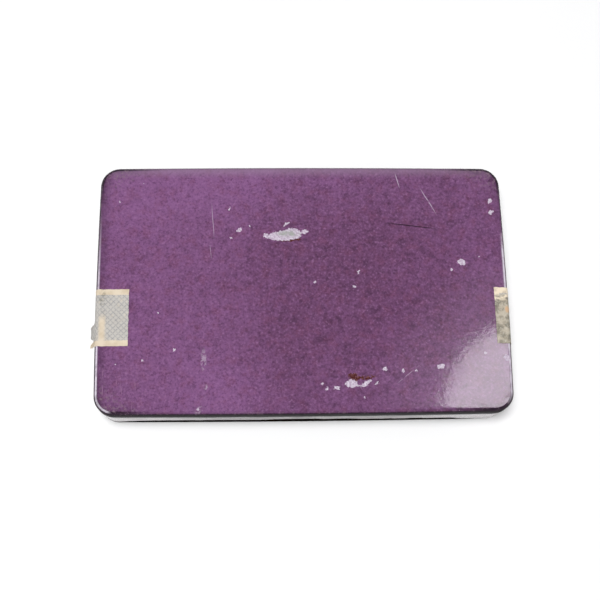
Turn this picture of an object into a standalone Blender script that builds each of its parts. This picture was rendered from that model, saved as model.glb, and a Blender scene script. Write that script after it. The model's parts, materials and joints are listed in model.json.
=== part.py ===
"""A watercolour pan set: a hinged tin with 24 full pans, a lift-out pan carrier, a brush and a mixing palette.

Metres, +Z up. The origin is the centre of the tin's underside. +X runs along the tin and the hinge is at +Y.
"""

import math

import bmesh
import bpy

MM = 0.001

# The tin. Its long and short sides bow outwards a little, as pressed sheet does.
TIN_LENGTH = 200 * MM
TIN_DEPTH = 125 * MM
TIN_HEIGHT = 26 * MM
CORNER_RADIUS = 9.5 * MM
SIDE_BOW = 0.5 * MM
SHEET = 0.4 * MM
GAP = 0.3 * MM
LID_SHOULDER = 2 * MM
BASE_EDGE = 1.5 * MM
SEAM_HEIGHT = 19.5 * MM
BASE_HEIGHT = 21.2 * MM
BASE_INSET = SHEET + GAP
PAPER = 0.3 * MM

# The hinge: knuckles turn by turn on the base and the lid, along one wire just below the seam.
KNUCKLE_COUNT = 7
KNUCKLE_LENGTH = 16 * MM
KNUCKLE_PITCH = 16.4 * MM
KNUCKLE_RADIUS = 1.25 * MM
BORE_RADIUS = 0.8 * MM
PIN_RADIUS = 0.5 * MM
HINGE_Y = TIN_DEPTH / 2 - BASE_INSET + 1.6 * MM
HINGE_Z = SEAM_HEIGHT - 1.5 * MM

# The carrier: one bent sheet with four pan rows, a ridge between rows and a brush trough in the middle.
# Its long edges are folded up and down again, as legs that stand on the tin's floor.
CARRIER_LENGTH = 190.8 * MM
CARRIER_DEPTH = 117 * MM
CARRIER_FOOT = SHEET + GAP
CARRIER_FLOOR = 7 * MM
ROW_CLEAR = 20.3 * MM
RIDGE_WIDTH = 1.4 * MM
RIDGE_TOP = CARRIER_FLOOR + 6.8 * MM
TROUGH_RIDGE_TOP = CARRIER_FLOOR + 8.8 * MM
TONGUE_WIDTH = 7 * MM
TONGUE_TOP = CARRIER_FLOOR + 6.3 * MM

# The pans and their cakes of paint.
PAN_LENGTH = 30 * MM
PAN_WIDTH = 19.5 * MM
PAN_HEIGHT = 10.2 * MM
PAN_WALL = 0.8 * MM
PAN_TAPER = 0.7 * MM
PAN_PITCH = 31.6 * MM
PANS_IN_ROW = 6
CAKE_HEIGHT = 7.4 * MM

# The palette in the lid: a flange with four wells.
PALETTE_FLANGE = BASE_HEIGHT + 0.4 * MM
WELL_COUNT = 4
WELL_LENGTH = 43 * MM
WELL_DEPTH = 104 * MM
WELL_PITCH = 47.5 * MM
WELL_CORNER = 8 * MM

# The brush, lying along the trough. Heights along it run from the handle's end to the tip.
BRUSH_Y = 8.5 * MM
BRUSH_RADIUS = 3.4 * MM
BRUSH_START = -84 * MM
HANDLE_LENGTH = 118 * MM
FERRULE_LENGTH = 26 * MM
HAIR_LENGTH = 24 * MM
FERRULE_OVERLAP = 9 * MM

# The paper seals on the two ends of the tin, slit along the seam.
SEAL_WIDTH = 28 * MM
SEAL_Y = -15 * MM
SEAL_REACH_LEFT = 16 * MM
SEAL_REACH_RIGHT = 7 * MM
SEAL_FOOT = 7 * MM

PAINTS = [
    ("titanium_white", (0.93, 0.92, 0.88)),
    ("lemon_yellow", (0.95, 0.86, 0.12)),
    ("cadmium_yellow", (0.95, 0.66, 0.04)),
    ("orange", (0.90, 0.33, 0.03)),
    ("vermilion", (0.78, 0.10, 0.04)),
    ("carmine", (0.50, 0.02, 0.08)),
    ("yellow_ochre", (0.62, 0.37, 0.08)),
    ("raw_sienna", (0.45, 0.22, 0.05)),
    ("burnt_sienna", (0.30, 0.09, 0.03)),
    ("english_red", (0.40, 0.07, 0.04)),
    ("rose_madder", (0.55, 0.05, 0.18)),
    ("mauve", (0.22, 0.04, 0.28)),
    ("sap_green", (0.16, 0.28, 0.05)),
    ("permanent_green", (0.03, 0.34, 0.12)),
    ("viridian", (0.01, 0.20, 0.13)),
    ("turquoise", (0.02, 0.38, 0.40)),
    ("cerulean_blue", (0.05, 0.30, 0.58)),
    ("cobalt_blue", (0.03, 0.12, 0.52)),
    ("ultramarine", (0.03, 0.04, 0.38)),
    ("prussian_blue", (0.01, 0.04, 0.14)),
    ("raw_umber", (0.15, 0.09, 0.04)),
    ("burnt_umber", (0.10, 0.04, 0.02)),
    ("sepia", (0.05, 0.03, 0.02)),
    ("ivory_black", (0.01, 0.01, 0.01)),
]


def clear_scene():
    for obj in list(bpy.data.objects):
        bpy.data.objects.remove(obj, do_unlink=True)


def new_collection(name):
    made = bpy.data.collections.new(name)
    bpy.context.scene.collection.children.link(made)
    return made


def material(name, color, roughness, metallic=0.0):
    made = bpy.data.materials.get(name) or bpy.data.materials.new(name)
    made.use_nodes = True
    shader = made.node_tree.nodes["Principled BSDF"]
    shader.inputs["Base Color"].default_value = (*color, 1)
    shader.inputs["Roughness"].default_value = roughness
    shader.inputs["Metallic"].default_value = metallic
    return made


def move_to(obj, collection):
    for owner in list(obj.users_collection):
        owner.objects.unlink(obj)
    collection.objects.link(obj)


def add_object(name, data, collection, finish=None):
    obj = bpy.data.objects.new(name, data)
    collection.objects.link(obj)
    if finish:
        data.materials.append(finish)
    return obj


def as_helper(obj):
    obj.hide_render = True
    obj.display_type = "WIRE"
    return obj


def box(name, low, high, collection):
    """A box between two corners, with its scale applied."""
    bm = bmesh.new()
    bmesh.ops.create_cube(bm, size=1)
    size = [b - a for a, b in zip(low, high)]
    centre = [(a + b) / 2 for a, b in zip(low, high)]
    bmesh.ops.scale(bm, vec=size, verts=bm.verts)
    mesh = bpy.data.meshes.new(name)
    bm.to_mesh(mesh)
    bm.free()
    obj = add_object(name, mesh, collection)
    obj.location = centre
    return obj


def rod_along_x(name, radius, length, x, y, z, collection, sides=16):
    bpy.ops.mesh.primitive_cylinder_add(vertices=sides, radius=radius, depth=length)
    obj = bpy.context.object
    obj.name = name
    obj.rotation_euler = (0, math.pi / 2, 0)
    obj.location = (x, y, z)
    move_to(obj, collection)
    return obj


def boolean(obj, operation, other):
    """Adds a Boolean with one object, or with every object of a collection."""
    modifier = obj.modifiers.new(operation.title(), "BOOLEAN")
    modifier.operation = operation
    if isinstance(other, bpy.types.Collection):
        modifier.operand_type = "COLLECTION"
        modifier.collection = other
    else:
        modifier.object = other


def bevel(obj, width, segments, angle):
    modifier = obj.modifiers.new("Bevel", "BEVEL")
    modifier.width = width
    modifier.segments = segments
    modifier.limit_method = "ANGLE"
    modifier.angle_limit = math.radians(angle)
    modifier.use_clamp_overlap = False


def solidify(obj, thickness, offset=-1):
    modifier = obj.modifiers.new("Solidify", "SOLIDIFY")
    modifier.thickness = thickness
    modifier.offset = offset
    modifier.use_even_offset = True


def smooth(obj, angle=35):
    obj.data.shade_smooth()
    obj.data.set_sharp_from_angle(angle=math.radians(angle))


def tin_outline(inset, corner_steps=7, side_steps=3):
    """The tin's plan, anticlockwise: bowed sides and round corners, moved inwards by inset."""
    radius = CORNER_RADIUS - inset
    far_x = TIN_LENGTH / 2 - inset
    far_y = TIN_DEPTH / 2 - inset
    centre_x = far_x - SIDE_BOW - radius
    centre_y = far_y - SIDE_BOW - radius
    quarter = []
    for i in range(side_steps):
        share = i / side_steps
        quarter.append((far_x - SIDE_BOW * share**2, centre_y * share))
    for i in range(corner_steps + 1):
        angle = math.pi / 2 * i / corner_steps
        quarter.append((centre_x + radius * math.cos(angle), centre_y + radius * math.sin(angle)))
    for i in range(side_steps - 1, 0, -1):
        share = i / side_steps
        quarter.append((centre_x * share, far_y - SIDE_BOW * share**2))
    top_middle = [(0, far_y)]
    left_middle = [(-far_x, 0)]
    back_left = [(-x, y) for x, y in reversed(quarter[1:])]
    front_left = [(-x, -y) for x, y in quarter[1:]]
    front_right = [(x, -y) for x, y in reversed(quarter[1:])]
    return quarter + top_middle + back_left + left_middle + front_left + [(0, -far_y)] + front_right


def pressing(name, inset, flat_z, rim_z, edge_radius, collection, finish):
    """A shallow dish of sheet metal: a flat face, a rounded edge and a wall up or down to rim_z."""
    bm = bmesh.new()
    corners = [bm.verts.new((x, y, flat_z)) for x, y in tin_outline(inset)]
    bm.faces.new(corners)
    grown = bmesh.ops.extrude_edge_only(bm, edges=bm.edges[:])
    rim = [item for item in grown["geom"] if isinstance(item, bmesh.types.BMVert)]
    bmesh.ops.translate(bm, verts=rim, vec=(0, 0, rim_z - flat_z))
    bmesh.ops.recalc_face_normals(bm, faces=bm.faces)
    mesh = bpy.data.meshes.new(name)
    bm.to_mesh(mesh)
    bm.free()
    obj = add_object(name, mesh, collection, finish)
    bevel(obj, edge_radius, 3, 60)
    solidify(obj, SHEET)
    smooth(obj)
    return obj


def knuckle_places(first):
    """The x of every second knuckle along the hinge wire, from number first."""
    middle = (KNUCKLE_COUNT - 1) / 2
    return [(i - middle) * KNUCKLE_PITCH for i in range(first, KNUCKLE_COUNT, 2)]


def knuckles(name, first, tab_low, tab_high, helpers):
    """Helper solids for one leaf: a round knuckle and the tab that joins it to the wall, at each place."""
    leaf = bpy.data.collections.new(name)
    helpers.children.link(leaf)
    for number, x in enumerate(knuckle_places(first)):
        rod = rod_along_x(f"{name}_rod_{number}", KNUCKLE_RADIUS, KNUCKLE_LENGTH, x, HINGE_Y, HINGE_Z, leaf)
        half = KNUCKLE_LENGTH / 2 - 0.2 * MM
        low = (x - half, *tab_low)
        high = (x + half, *tab_high)
        tab = box(f"{name}_tab_{number}", low, high, leaf)
        as_helper(rod)
        as_helper(tab)
    return leaf


def make_tin(parts, helpers):
    enamel = material("purple_enamel", (0.19, 0.08, 0.19), 0.3)
    tinplate = material("tinplate", (0.72, 0.71, 0.69), 0.35, 1.0)
    bore = rod_along_x("hinge_bore", BORE_RADIUS, 130 * MM, 0, HINGE_Y, HINGE_Z, helpers)
    as_helper(bore)

    wall_middle = TIN_DEPTH / 2 - BASE_INSET - 0.35 * MM
    tab_half = 0.45 * MM
    base_leaf = knuckles(
        "base_leaf",
        0,
        (wall_middle, HINGE_Z - tab_half),
        (HINGE_Y - 0.4 * MM, HINGE_Z + tab_half),
        helpers,
    )
    base = pressing("base_tray", BASE_INSET, 0, BASE_HEIGHT, BASE_EDGE, parts, tinplate)
    boolean(base, "UNION", base_leaf)
    boolean(base, "DIFFERENCE", bore)

    tab_inner = TIN_DEPTH / 2 - 0.35 * MM
    lid_leaf = knuckles(
        "lid_leaf",
        1,
        (tab_inner, HINGE_Z),
        (tab_inner + 0.45 * MM, SEAM_HEIGHT + 1.2 * MM),
        helpers,
    )
    lid = pressing("lid", 0, TIN_HEIGHT, SEAM_HEIGHT, LID_SHOULDER, parts, enamel)
    boolean(lid, "UNION", lid_leaf)
    boolean(lid, "DIFFERENCE", bore)

    steel = material("hinge_wire", (0.45, 0.44, 0.42), 0.4, 1.0)
    pin_length = (KNUCKLE_COUNT - 1) * KNUCKLE_PITCH + KNUCKLE_LENGTH + 1 * MM
    pin = rod_along_x("hinge_wire", PIN_RADIUS, pin_length, 0, HINGE_Y, HINGE_Z, parts, sides=12)
    pin.data.materials.append(steel)
    smooth(pin)


def row_centres():
    """The y of the four pan rows, back to front."""
    outer = CARRIER_DEPTH / 2 - RIDGE_WIDTH - ROW_CLEAR / 2
    inner = outer - ROW_CLEAR - RIDGE_WIDTH
    return [outer, inner, -inner, -outer]


def column_centres():
    middle = (PANS_IN_ROW - 1) / 2
    return [(i - middle) * PAN_PITCH for i in range(PANS_IN_ROW)]


def carrier_profile():
    """The bent sheet's middle line as (y, z), from the back edge to the front edge."""
    floor = CARRIER_FLOOR + SHEET / 2
    back = CARRIER_DEPTH / 2 - SHEET / 2
    leg = (RIDGE_WIDTH - SHEET) / 2
    inside = back - 2 * leg
    row_ridge = sum(row_centres()[:2]) / 2
    trough_ridge = row_centres()[1] - ROW_CLEAR / 2 - RIDGE_WIDTH / 2
    half = [(back, CARRIER_FOOT), (back, RIDGE_TOP), (inside, RIDGE_TOP), (inside, floor)]
    for ridge, top in ((row_ridge, RIDGE_TOP), (trough_ridge, TROUGH_RIDGE_TOP)):
        half += [(ridge + leg, floor), (ridge + leg, top), (ridge - leg, top), (ridge - leg, floor)]
    return half + [(-y, z) for y, z in reversed(half)]


def make_carrier(parts, helpers):
    white = material("white_enamel", (0.85, 0.84, 0.80), 0.3)
    bm = bmesh.new()
    line = [bm.verts.new((-CARRIER_LENGTH / 2, y, z)) for y, z in carrier_profile()]
    edges = [bm.edges.new(pair) for pair in zip(line, line[1:])]
    grown = bmesh.ops.extrude_edge_only(bm, edges=edges)
    far = [item for item in grown["geom"] if isinstance(item, bmesh.types.BMVert)]
    bmesh.ops.translate(bm, verts=far, vec=(CARRIER_LENGTH, 0, 0))
    bmesh.ops.recalc_face_normals(bm, faces=bm.faces)
    mesh = bpy.data.meshes.new("pan_carrier")
    bm.to_mesh(mesh)
    bm.free()
    carrier = add_object("pan_carrier", mesh, parts, white)
    solidify(carrier, SHEET, offset=0)
    boolean(carrier, "UNION", tongues(helpers))


def tongues(helpers):
    """Upright tongues lanced from the carrier's floor, one between each two pans of a row."""
    group = bpy.data.collections.new("tongues")
    helpers.children.link(group)
    columns = column_centres()
    for row, y in enumerate(row_centres()):
        for number, pair in enumerate(zip(columns, columns[1:])):
            x = sum(pair) / 2
            low = (x - SHEET / 2, y - TONGUE_WIDTH / 2, CARRIER_FLOOR + 0.1 * MM)
            high = (x + SHEET / 2, y + TONGUE_WIDTH / 2, TONGUE_TOP)
            as_helper(box(f"tongue_{row}_{number}", low, high, group))
    return group


def tapered_block(name, length, width, height, taper, corner):
    """A block that narrows by taper on each side towards its foot, standing on z 0, with round upright edges."""
    bm = bmesh.new()
    bmesh.ops.create_cube(bm, size=1)
    bmesh.ops.translate(bm, verts=bm.verts, vec=(0, 0, 0.5))
    bmesh.ops.scale(bm, vec=(length, width, height), verts=bm.verts)
    for vert in bm.verts:
        if vert.co.z < height / 2:
            vert.co.x -= math.copysign(taper, vert.co.x)
            vert.co.y -= math.copysign(taper, vert.co.y)
    uprights = [edge for edge in bm.edges if abs(edge.verts[0].co.z - edge.verts[1].co.z) > height / 2]
    bmesh.ops.bevel(bm, geom=uprights, offset=corner, segments=3, affect="EDGES", profile=0.5)
    mesh = bpy.data.meshes.new(name)
    bm.to_mesh(mesh)
    bm.free()
    return mesh


def open_top(mesh, height):
    bm = bmesh.new()
    bm.from_mesh(mesh)
    top = [face for face in bm.faces if all(vert.co.z > height - 0.01 * MM for vert in face.verts)]
    bmesh.ops.delete(bm, geom=top, context="FACES_ONLY")
    bm.to_mesh(mesh)
    bm.free()


def make_pans(parts):
    """Every pan shares one mesh, and every cake another apart from its paint."""
    pan_finish = material("pan_plastic", (0.88, 0.87, 0.84), 0.35)
    pan_floor = CARRIER_FLOOR + SHEET + GAP
    pan_mesh = tapered_block("pan", PAN_LENGTH, PAN_WIDTH, PAN_HEIGHT, PAN_TAPER, 1.8 * MM)
    open_top(pan_mesh, PAN_HEIGHT)
    pan_mesh.materials.append(pan_finish)

    inset = PAN_WALL + GAP + 0.1 * MM
    cake_size = (PAN_LENGTH - 2 * inset, PAN_WIDTH - 2 * inset, CAKE_HEIGHT)
    places = [(x, y) for y in row_centres() for x in column_centres()]
    for number, ((x, y), (paint, color)) in enumerate(zip(places, PAINTS), start=1):
        pan = add_object(f"pan_{number:02d}", pan_mesh, parts)
        pan.location = (x, y, pan_floor)
        solidify(pan, PAN_WALL)
        cake_mesh = tapered_block(f"cake_{paint}", *cake_size, PAN_TAPER, 1.2 * MM)
        cake = add_object(f"cake_{paint}", cake_mesh, parts, material(paint, color, 0.5))
        cake.location = (x, y, pan_floor + PAN_WALL + GAP)


def make_palette(parts, helpers):
    """A white sheet with four wells that stand up into the lid, so they are hollows once the lid is open."""
    white = material("palette_enamel", (0.88, 0.88, 0.85), 0.2)
    bm = bmesh.new()
    bm.faces.new([bm.verts.new((x, y, PALETTE_FLANGE)) for x, y in tin_outline(BASE_INSET, 5, 1)])
    mesh = bpy.data.meshes.new("mixing_palette")
    bm.to_mesh(mesh)
    bm.free()
    palette = add_object("mixing_palette", mesh, parts, white)
    solidify(palette, SHEET, offset=1)

    outsides = bpy.data.collections.new("well_outsides")
    insides = bpy.data.collections.new("well_insides")
    helpers.children.link(outsides)
    helpers.children.link(insides)
    well_top = TIN_HEIGHT - SHEET - GAP
    for i in range(WELL_COUNT):
        x = (i - (WELL_COUNT - 1) / 2) * WELL_PITCH
        for group, inset, bottom, top in (
            (outsides, 0, PALETTE_FLANGE + SHEET / 2, well_top),
            (insides, SHEET, PALETTE_FLANGE - 1 * MM, well_top - SHEET),
        ):
            half_x = WELL_LENGTH / 2 - inset
            half_y = WELL_DEPTH / 2 - inset
            well = box(f"{group.name}_{i}", (x - half_x, -half_y, bottom), (x + half_x, half_y, top), group)
            round_uprights(well, WELL_CORNER - inset)
            as_helper(well)
    boolean(palette, "UNION", outsides)
    boolean(palette, "DIFFERENCE", insides)


def round_uprights(obj, radius):
    bm = bmesh.new()
    bm.from_mesh(obj.data)
    uprights = [edge for edge in bm.edges if edge.verts[0].co.z * edge.verts[1].co.z < 0]
    bmesh.ops.bevel(bm, geom=uprights, offset=radius, segments=5, affect="EDGES", profile=0.5)
    bm.to_mesh(obj.data)
    bm.free()


def turned(name, profile, closed, finish, parts):
    """A turned piece lying along +X, from a profile of (distance along it, radius)."""
    bm = bmesh.new()
    line = [bm.verts.new((radius, 0, along)) for along, radius in reversed(profile)]
    for pair in zip(line, line[1:]):
        bm.edges.new(pair)
    if closed:
        bm.edges.new((line[-1], line[0]))
    mesh = bpy.data.meshes.new(name)
    bm.to_mesh(mesh)
    bm.free()
    obj = add_object(name, mesh, parts, finish)
    screw = obj.modifiers.new("Screw", "SCREW")
    screw.steps = 16
    screw.render_steps = 16
    screw.use_merge_vertices = True
    screw.merge_threshold = 0.01 * MM
    screw.use_smooth_shade = True
    obj.rotation_euler = (0, math.pi / 2, 0)
    obj.location = (BRUSH_START, BRUSH_Y, CARRIER_FLOOR + SHEET + GAP + BRUSH_RADIUS)
    return obj


def make_brush(parts):
    """A round brush: a wooden handle, a drawn ferrule over its end, and the hair set in the ferrule."""
    wood = material("brush_lacquer", (0.35, 0.05, 0.03), 0.3)
    nickel = material("ferrule_nickel", (0.75, 0.73, 0.70), 0.25, 1.0)
    hair = material("brush_hair", (0.25, 0.12, 0.05), 0.7)
    ferrule_start = HANDLE_LENGTH - FERRULE_OVERLAP
    ferrule_end = ferrule_start + FERRULE_LENGTH
    tip = ferrule_end + HAIR_LENGTH
    tenon = 1.7 * MM
    handle = [
        (0, 0),
        (0.3 * MM, 0.9 * MM),
        (2 * MM, 1.5 * MM),
        (40 * MM, 2.1 * MM),
        (78 * MM, BRUSH_RADIUS),
        (96 * MM, 3.0 * MM),
        (ferrule_start - GAP, 2.4 * MM),
        (ferrule_start - GAP, tenon),
        (HANDLE_LENGTH, tenon),
        (HANDLE_LENGTH, 0),
    ]
    turned("brush_handle", handle, False, wood, parts)
    outer = [
        (ferrule_start, 2.4 * MM),
        (ferrule_start + 6 * MM, 2.5 * MM),
        (ferrule_end, 2.9 * MM),
    ]
    inner = [(along, radius - SHEET) for along, radius in reversed(outer)]
    turned("brush_ferrule", outer + inner, True, nickel, parts)
    root = HANDLE_LENGTH + GAP
    hairs = [
        (root, 0),
        (root, 1.8 * MM),
        (ferrule_end, 2.15 * MM),
        (ferrule_end + 4 * MM, 2.9 * MM),
        (ferrule_end + 9 * MM, 2.9 * MM),
        (ferrule_end + 17 * MM, 1.7 * MM),
        (tip - 1 * MM, 0.35 * MM),
        (tip, 0),
    ]
    turned("brush_hair", hairs, False, hair, parts)


def arc(centre_x, centre_z, radius, start, end, steps=4):
    """Points on an arc in the XZ plane, with its angles in degrees."""
    angles = [math.radians(start + (end - start) * i / steps) for i in range(steps + 1)]
    return [(centre_x + radius * math.cos(a), centre_z + radius * math.sin(a)) for a in angles]


def strip(name, section, side, parts, finish):
    """A paper strip: its section (x, z) on the right-hand end, swept along Y, and turned over for the left."""
    curve = bpy.data.curves.new(name, "CURVE")
    curve.dimensions = "2D"
    curve.fill_mode = "BOTH"
    curve.extrude = SEAL_WIDTH / 2
    spline = curve.splines.new("POLY")
    spline.points.add(len(section) - 1)
    for point, (x, z) in zip(spline.points, section):
        point.co = (side * x, z, 0, 1)
    spline.use_cyclic_u = True
    obj = add_object(name, curve, parts, finish)
    obj.rotation_euler = (math.pi / 2, 0, 0)
    obj.location = (0, SEAL_Y, 0)


def make_seals(parts):
    paper = material("seal_paper", (0.80, 0.74, 0.60), 0.8)
    shoulder_x = TIN_LENGTH / 2 - LID_SHOULDER
    shoulder_z = TIN_HEIGHT - LID_SHOULDER
    near = LID_SHOULDER + GAP
    far = near + PAPER
    for label, side, reach in (("left", -1, SEAL_REACH_LEFT), ("right", 1, SEAL_REACH_RIGHT)):
        end_x = TIN_LENGTH / 2 - reach
        under = [(end_x, TIN_HEIGHT + GAP)] + arc(shoulder_x, shoulder_z, near, 90, 0)
        under.append((shoulder_x + near, SEAM_HEIGHT + 0.1 * MM))
        over = [(end_x, TIN_HEIGHT + GAP + PAPER)] + arc(shoulder_x, shoulder_z, far, 90, 0)
        over.append((shoulder_x + far, SEAM_HEIGHT + 0.1 * MM))
        strip(f"seal_{label}_lid", under + over[::-1], side, parts, paper)
        wall = TIN_LENGTH / 2 - BASE_INSET + GAP
        low, high = SEAL_FOOT, SEAM_HEIGHT - 0.5 * MM
        section = [(wall, low), (wall + PAPER, low), (wall + PAPER, high), (wall, high)]
        strip(f"seal_{label}_base", section, side, parts, paper)


def hang_on_hinge(names, parts):
    """Parents the lid's pieces to an empty on the hinge axis, without moving them."""
    axis = add_object("lid_hinge_axis", None, parts)
    axis.location = (0, HINGE_Y, HINGE_Z)
    bpy.context.view_layer.update()
    for name in names:
        piece = bpy.data.objects[name]
        piece.parent = axis
        piece.matrix_parent_inverse = axis.matrix_world.inverted()


def main():
    clear_scene()
    parts = new_collection("watercolour_pan_set")
    helpers = new_collection("cutters_and_unions")
    make_tin(parts, helpers)
    make_carrier(parts, helpers)
    make_pans(parts)
    make_palette(parts, helpers)
    make_brush(parts)
    make_seals(parts)
    hang_on_hinge(("lid", "mixing_palette", "seal_left_lid", "seal_right_lid"), parts)


main()
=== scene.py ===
"""The looks of the watercolour pan set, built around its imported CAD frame.

Metres, +Z up, in the frame's own axes: the hinge is at +Y and the camera stands in front, at -Y.
Sizes come from the frame's boxes. Materials work in millimetres, in each piece's own coordinates.
"""
import json
import math
import random

import bmesh
import bpy
from mathutils import Matrix, Vector, noise


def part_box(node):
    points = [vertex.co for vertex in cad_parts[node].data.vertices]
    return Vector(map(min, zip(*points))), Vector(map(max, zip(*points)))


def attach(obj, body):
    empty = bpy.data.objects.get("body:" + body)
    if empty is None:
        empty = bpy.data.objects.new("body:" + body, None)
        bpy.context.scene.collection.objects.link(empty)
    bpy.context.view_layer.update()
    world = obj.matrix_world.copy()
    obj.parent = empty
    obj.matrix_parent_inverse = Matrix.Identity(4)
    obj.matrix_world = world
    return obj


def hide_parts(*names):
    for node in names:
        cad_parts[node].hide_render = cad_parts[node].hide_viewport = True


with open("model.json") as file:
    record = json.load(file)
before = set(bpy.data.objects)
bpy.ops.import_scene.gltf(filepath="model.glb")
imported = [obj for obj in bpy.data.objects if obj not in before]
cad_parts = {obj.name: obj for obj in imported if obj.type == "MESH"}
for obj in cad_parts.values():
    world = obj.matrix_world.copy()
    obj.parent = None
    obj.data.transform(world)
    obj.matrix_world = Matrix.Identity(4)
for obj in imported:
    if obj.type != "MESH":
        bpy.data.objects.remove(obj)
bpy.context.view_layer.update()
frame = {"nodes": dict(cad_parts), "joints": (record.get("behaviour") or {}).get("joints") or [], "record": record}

MM = 0.001
SHEET = 0.4 * MM
GAP = 0.3 * MM

# The tin, as the frame has it.
LID_LOW, LID_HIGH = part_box("lid")
TRAY_LOW, TRAY_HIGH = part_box("base_tray")
LID_X = LID_HIGH.x
LID_Y = -LID_LOW.y
LID_TOP = LID_HIGH.z
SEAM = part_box("seal_left_lid")[0].z - 0.1 * MM
TRAY_X = TRAY_HIGH.x
TRAY_Y = -TRAY_LOW.y
TRAY_TOP = TRAY_HIGH.z
CORNER = 9.5 * MM
BOW = 0.5 * MM
SHOULDER = 2 * MM
TRAY_EDGE = 1.5 * MM

HINGE = Vector(frame["joints"][0]["pos_m"])
KNUCKLES = 7
KNUCKLE_PITCH = 16.4 * MM
KNUCKLE_LENGTH = 15.6 * MM
KNUCKLE_RADIUS = 1 * MM
KNUCKLE_SHEET = 0.35 * MM

# The camera looks down on the lid from in front. It is turned about the lid's middle, then moved back.
CAMERA_LENS = 63
CAMERA_SENSOR = 36
CAMERA_TILT = math.radians(15.6)
CAMERA_YAW = math.radians(2.4)
CAMERA_ROLL = math.radians(0.33)
CAMERA_OFFSET = Vector((1.6, 6, -511.2)) * MM


# ---------- Shapes ----------

def outline(half_x, half_y, radius, bow=0, inset=0, corner_steps=12, side_steps=6):
    """A rounded rectangle with bowed sides, anticlockwise, as (x, y) points."""
    far_x = half_x - inset
    far_y = half_y - inset
    round_off = max(radius - inset, 0.3 * MM)
    centre_x = far_x - bow - round_off
    centre_y = far_y - bow - round_off
    quarter = []
    for i in range(side_steps):
        share = i / side_steps
        quarter.append((far_x - bow * share**2, centre_y * share))
    for i in range(corner_steps + 1):
        angle = math.pi / 2 * i / corner_steps
        quarter.append((centre_x + round_off * math.cos(angle), centre_y + round_off * math.sin(angle)))
    for i in range(side_steps - 1, 0, -1):
        share = i / side_steps
        quarter.append((centre_x * share, far_y - bow * share**2))
    points = quarter + [(0, far_y)]
    points += [(-x, y) for x, y in reversed(quarter[1:])] + [(-far_x, 0)]
    points += [(-x, -y) for x, y in quarter[1:]] + [(0, -far_y)]
    return points + [(x, -y) for x, y in reversed(quarter[1:])]


def arc(centre, radius, start, end, steps):
    """Points on an arc about centre, with its angles in degrees."""
    points = []
    for i in range(steps + 1):
        angle = math.radians(start + (end - start) * i / steps)
        points.append((centre[0] + radius * math.cos(angle), centre[1] + radius * math.sin(angle)))
    return points


def add(name, data):
    obj = bpy.data.objects.new(name, data)
    bpy.context.scene.collection.objects.link(obj)
    return obj


def smooth(mesh, sharp_angle=40):
    mesh.shade_smooth()
    mesh.set_sharp_from_angle(angle=math.radians(sharp_angle))


def new_object(name, bm, sharp_angle=40):
    bmesh.ops.recalc_face_normals(bm, faces=bm.faces)
    mesh = bpy.data.meshes.new(name)
    bm.to_mesh(mesh)
    bm.free()
    smooth(mesh, sharp_angle)
    return add(name, mesh)


def skin(bm, rings, closed_ends=True):
    """Joins rings of equally many points by quads, and closes the first and the last with a face."""
    rows = [[bm.verts.new(point) for point in ring] for ring in rings]
    for low, high in zip(rows, rows[1:]):
        for i in range(len(low)):
            j = (i + 1) % len(low)
            bm.faces.new((low[i], low[j], high[j], high[i]))
    if closed_ends:
        bm.faces.new(rows[0])
        bm.faces.new(rows[-1])
    return rows


def pressed(name, half_x, half_y, radius, bow, profile, **steps):
    """A body whose every ring is the same outline, inset and lifted by the profile's (inset, z) pairs."""
    bm = bmesh.new()
    rings = []
    for inset, z in profile:
        rings.append([(x, y, z) for x, y in outline(half_x, half_y, radius, bow, inset, **steps)])
    skin(bm, rings)
    return new_object(name, bm)


def ribbon(name, path, thickness, low_x, high_x, steps=4):
    """A strip of sheet that follows a path of (y, z) and is as wide as low_x to high_x."""
    bm = bmesh.new()
    rows = []
    for i in range(steps + 1):
        x = low_x + (high_x - low_x) * i / steps
        rows.append([bm.verts.new((x, y, z)) for y, z in path])
    for near, far in zip(rows, rows[1:]):
        for i in range(len(path) - 1):
            bm.faces.new((near[i], near[i + 1], far[i + 1], far[i]))
    obj = new_object(name, bm)
    thicken(obj, thickness)
    return obj


def thicken(obj, thickness, even=True):
    """Makes a sheet solid, half of its thickness on either side."""
    modifier = obj.modifiers.new("Solidify", "SOLIDIFY")
    modifier.thickness = thickness
    modifier.offset = 0
    modifier.use_even_offset = even
    depsgraph = bpy.context.evaluated_depsgraph_get()
    mesh = bpy.data.meshes.new_from_object(obj.evaluated_get(depsgraph))
    obj.modifiers.clear()
    obj.data = mesh
    smooth(mesh)


def settle(obj, body, slot_name, finish, *nodes):
    """Gives a piece its material and its body, and hides the CAD nodes that it stands for. slot_name is not used.
    """
    obj.data.materials.clear()
    obj.data.materials.append(finish)
    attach(obj, body)
    if nodes:
        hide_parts(*nodes)


# ---------- Materials ----------

def rgb(red, green, blue):
    """A colour given in display values of 0 to 255, as the linear values that a shader takes."""
    linear = []
    for value in (red, green, blue):
        share = value / 255
        linear.append(share / 12.92 if share <= 0.04045 else ((share + 0.055) / 1.055) ** 2.4)
    return (*linear, 1)


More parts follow.
